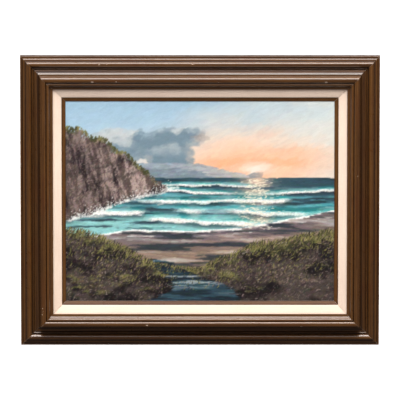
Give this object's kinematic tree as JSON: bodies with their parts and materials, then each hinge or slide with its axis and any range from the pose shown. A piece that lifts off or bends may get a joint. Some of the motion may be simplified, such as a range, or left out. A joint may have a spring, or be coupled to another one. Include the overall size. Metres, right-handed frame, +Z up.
{
  "type": "framed oil painting",
  "caption": "Landscape-format oil painting on stretched canvas in a wide dark wood moulding with a linen liner and wood slip, hung from a sawtooth hanger.",
  "frame": {"origin": "middle of the sawtooth hanger's raised plate, on its back face, where it meets the wall", "axes": "+X towards the viewer's right, +Y out of the back towards the wall, +Z up"},
  "size_m": [0.8, 0.05, 0.652],
  "materials": {
    "dark_wood": "satin lacquer over a dark walnut stain",
    "linen": "plain woven, matt, cream",
    "slip_wood": "satin lacquer over a mid brown stain",
    "painted_canvas": "oil paint under a thin varnish",
    "stretcher_pine": "raw, planed",
    "steel": "zinc plated",
    "brass_plate": "brass plated, slightly dull"
  },
  "bodies": {
    "root": {"frame_rail_top": "dark_wood", "frame_rail_bottom": "dark_wood", "frame_rail_left": "dark_wood", "frame_rail_right": "dark_wood", "liner_top": "linen", "liner_bottom": "linen", "liner_left": "linen", "liner_right": "linen", "slip_top": "slip_wood", "slip_bottom": "slip_wood", "slip_left": "slip_wood", "slip_right": "slip_wood", "canvas": "painted_canvas", "stretcher_top": "stretcher_pine", "stretcher_bottom": "stretcher_pine", "stretcher_left": "stretcher_pine", "stretcher_right": "stretcher_pine", "clip_top_left": "steel", "clip_top_right": "steel", "clip_bottom_left": "steel", "clip_bottom_right": "steel", "clip_screw_top_left": "steel", "clip_screw_top_right": "steel", "clip_screw_bottom_left": "steel", "clip_screw_bottom_right": "steel", "hanger": "brass_plate", "hanger_nail_left": "steel", "hanger_nail_right": "steel"}
  },
  "joints": []
}
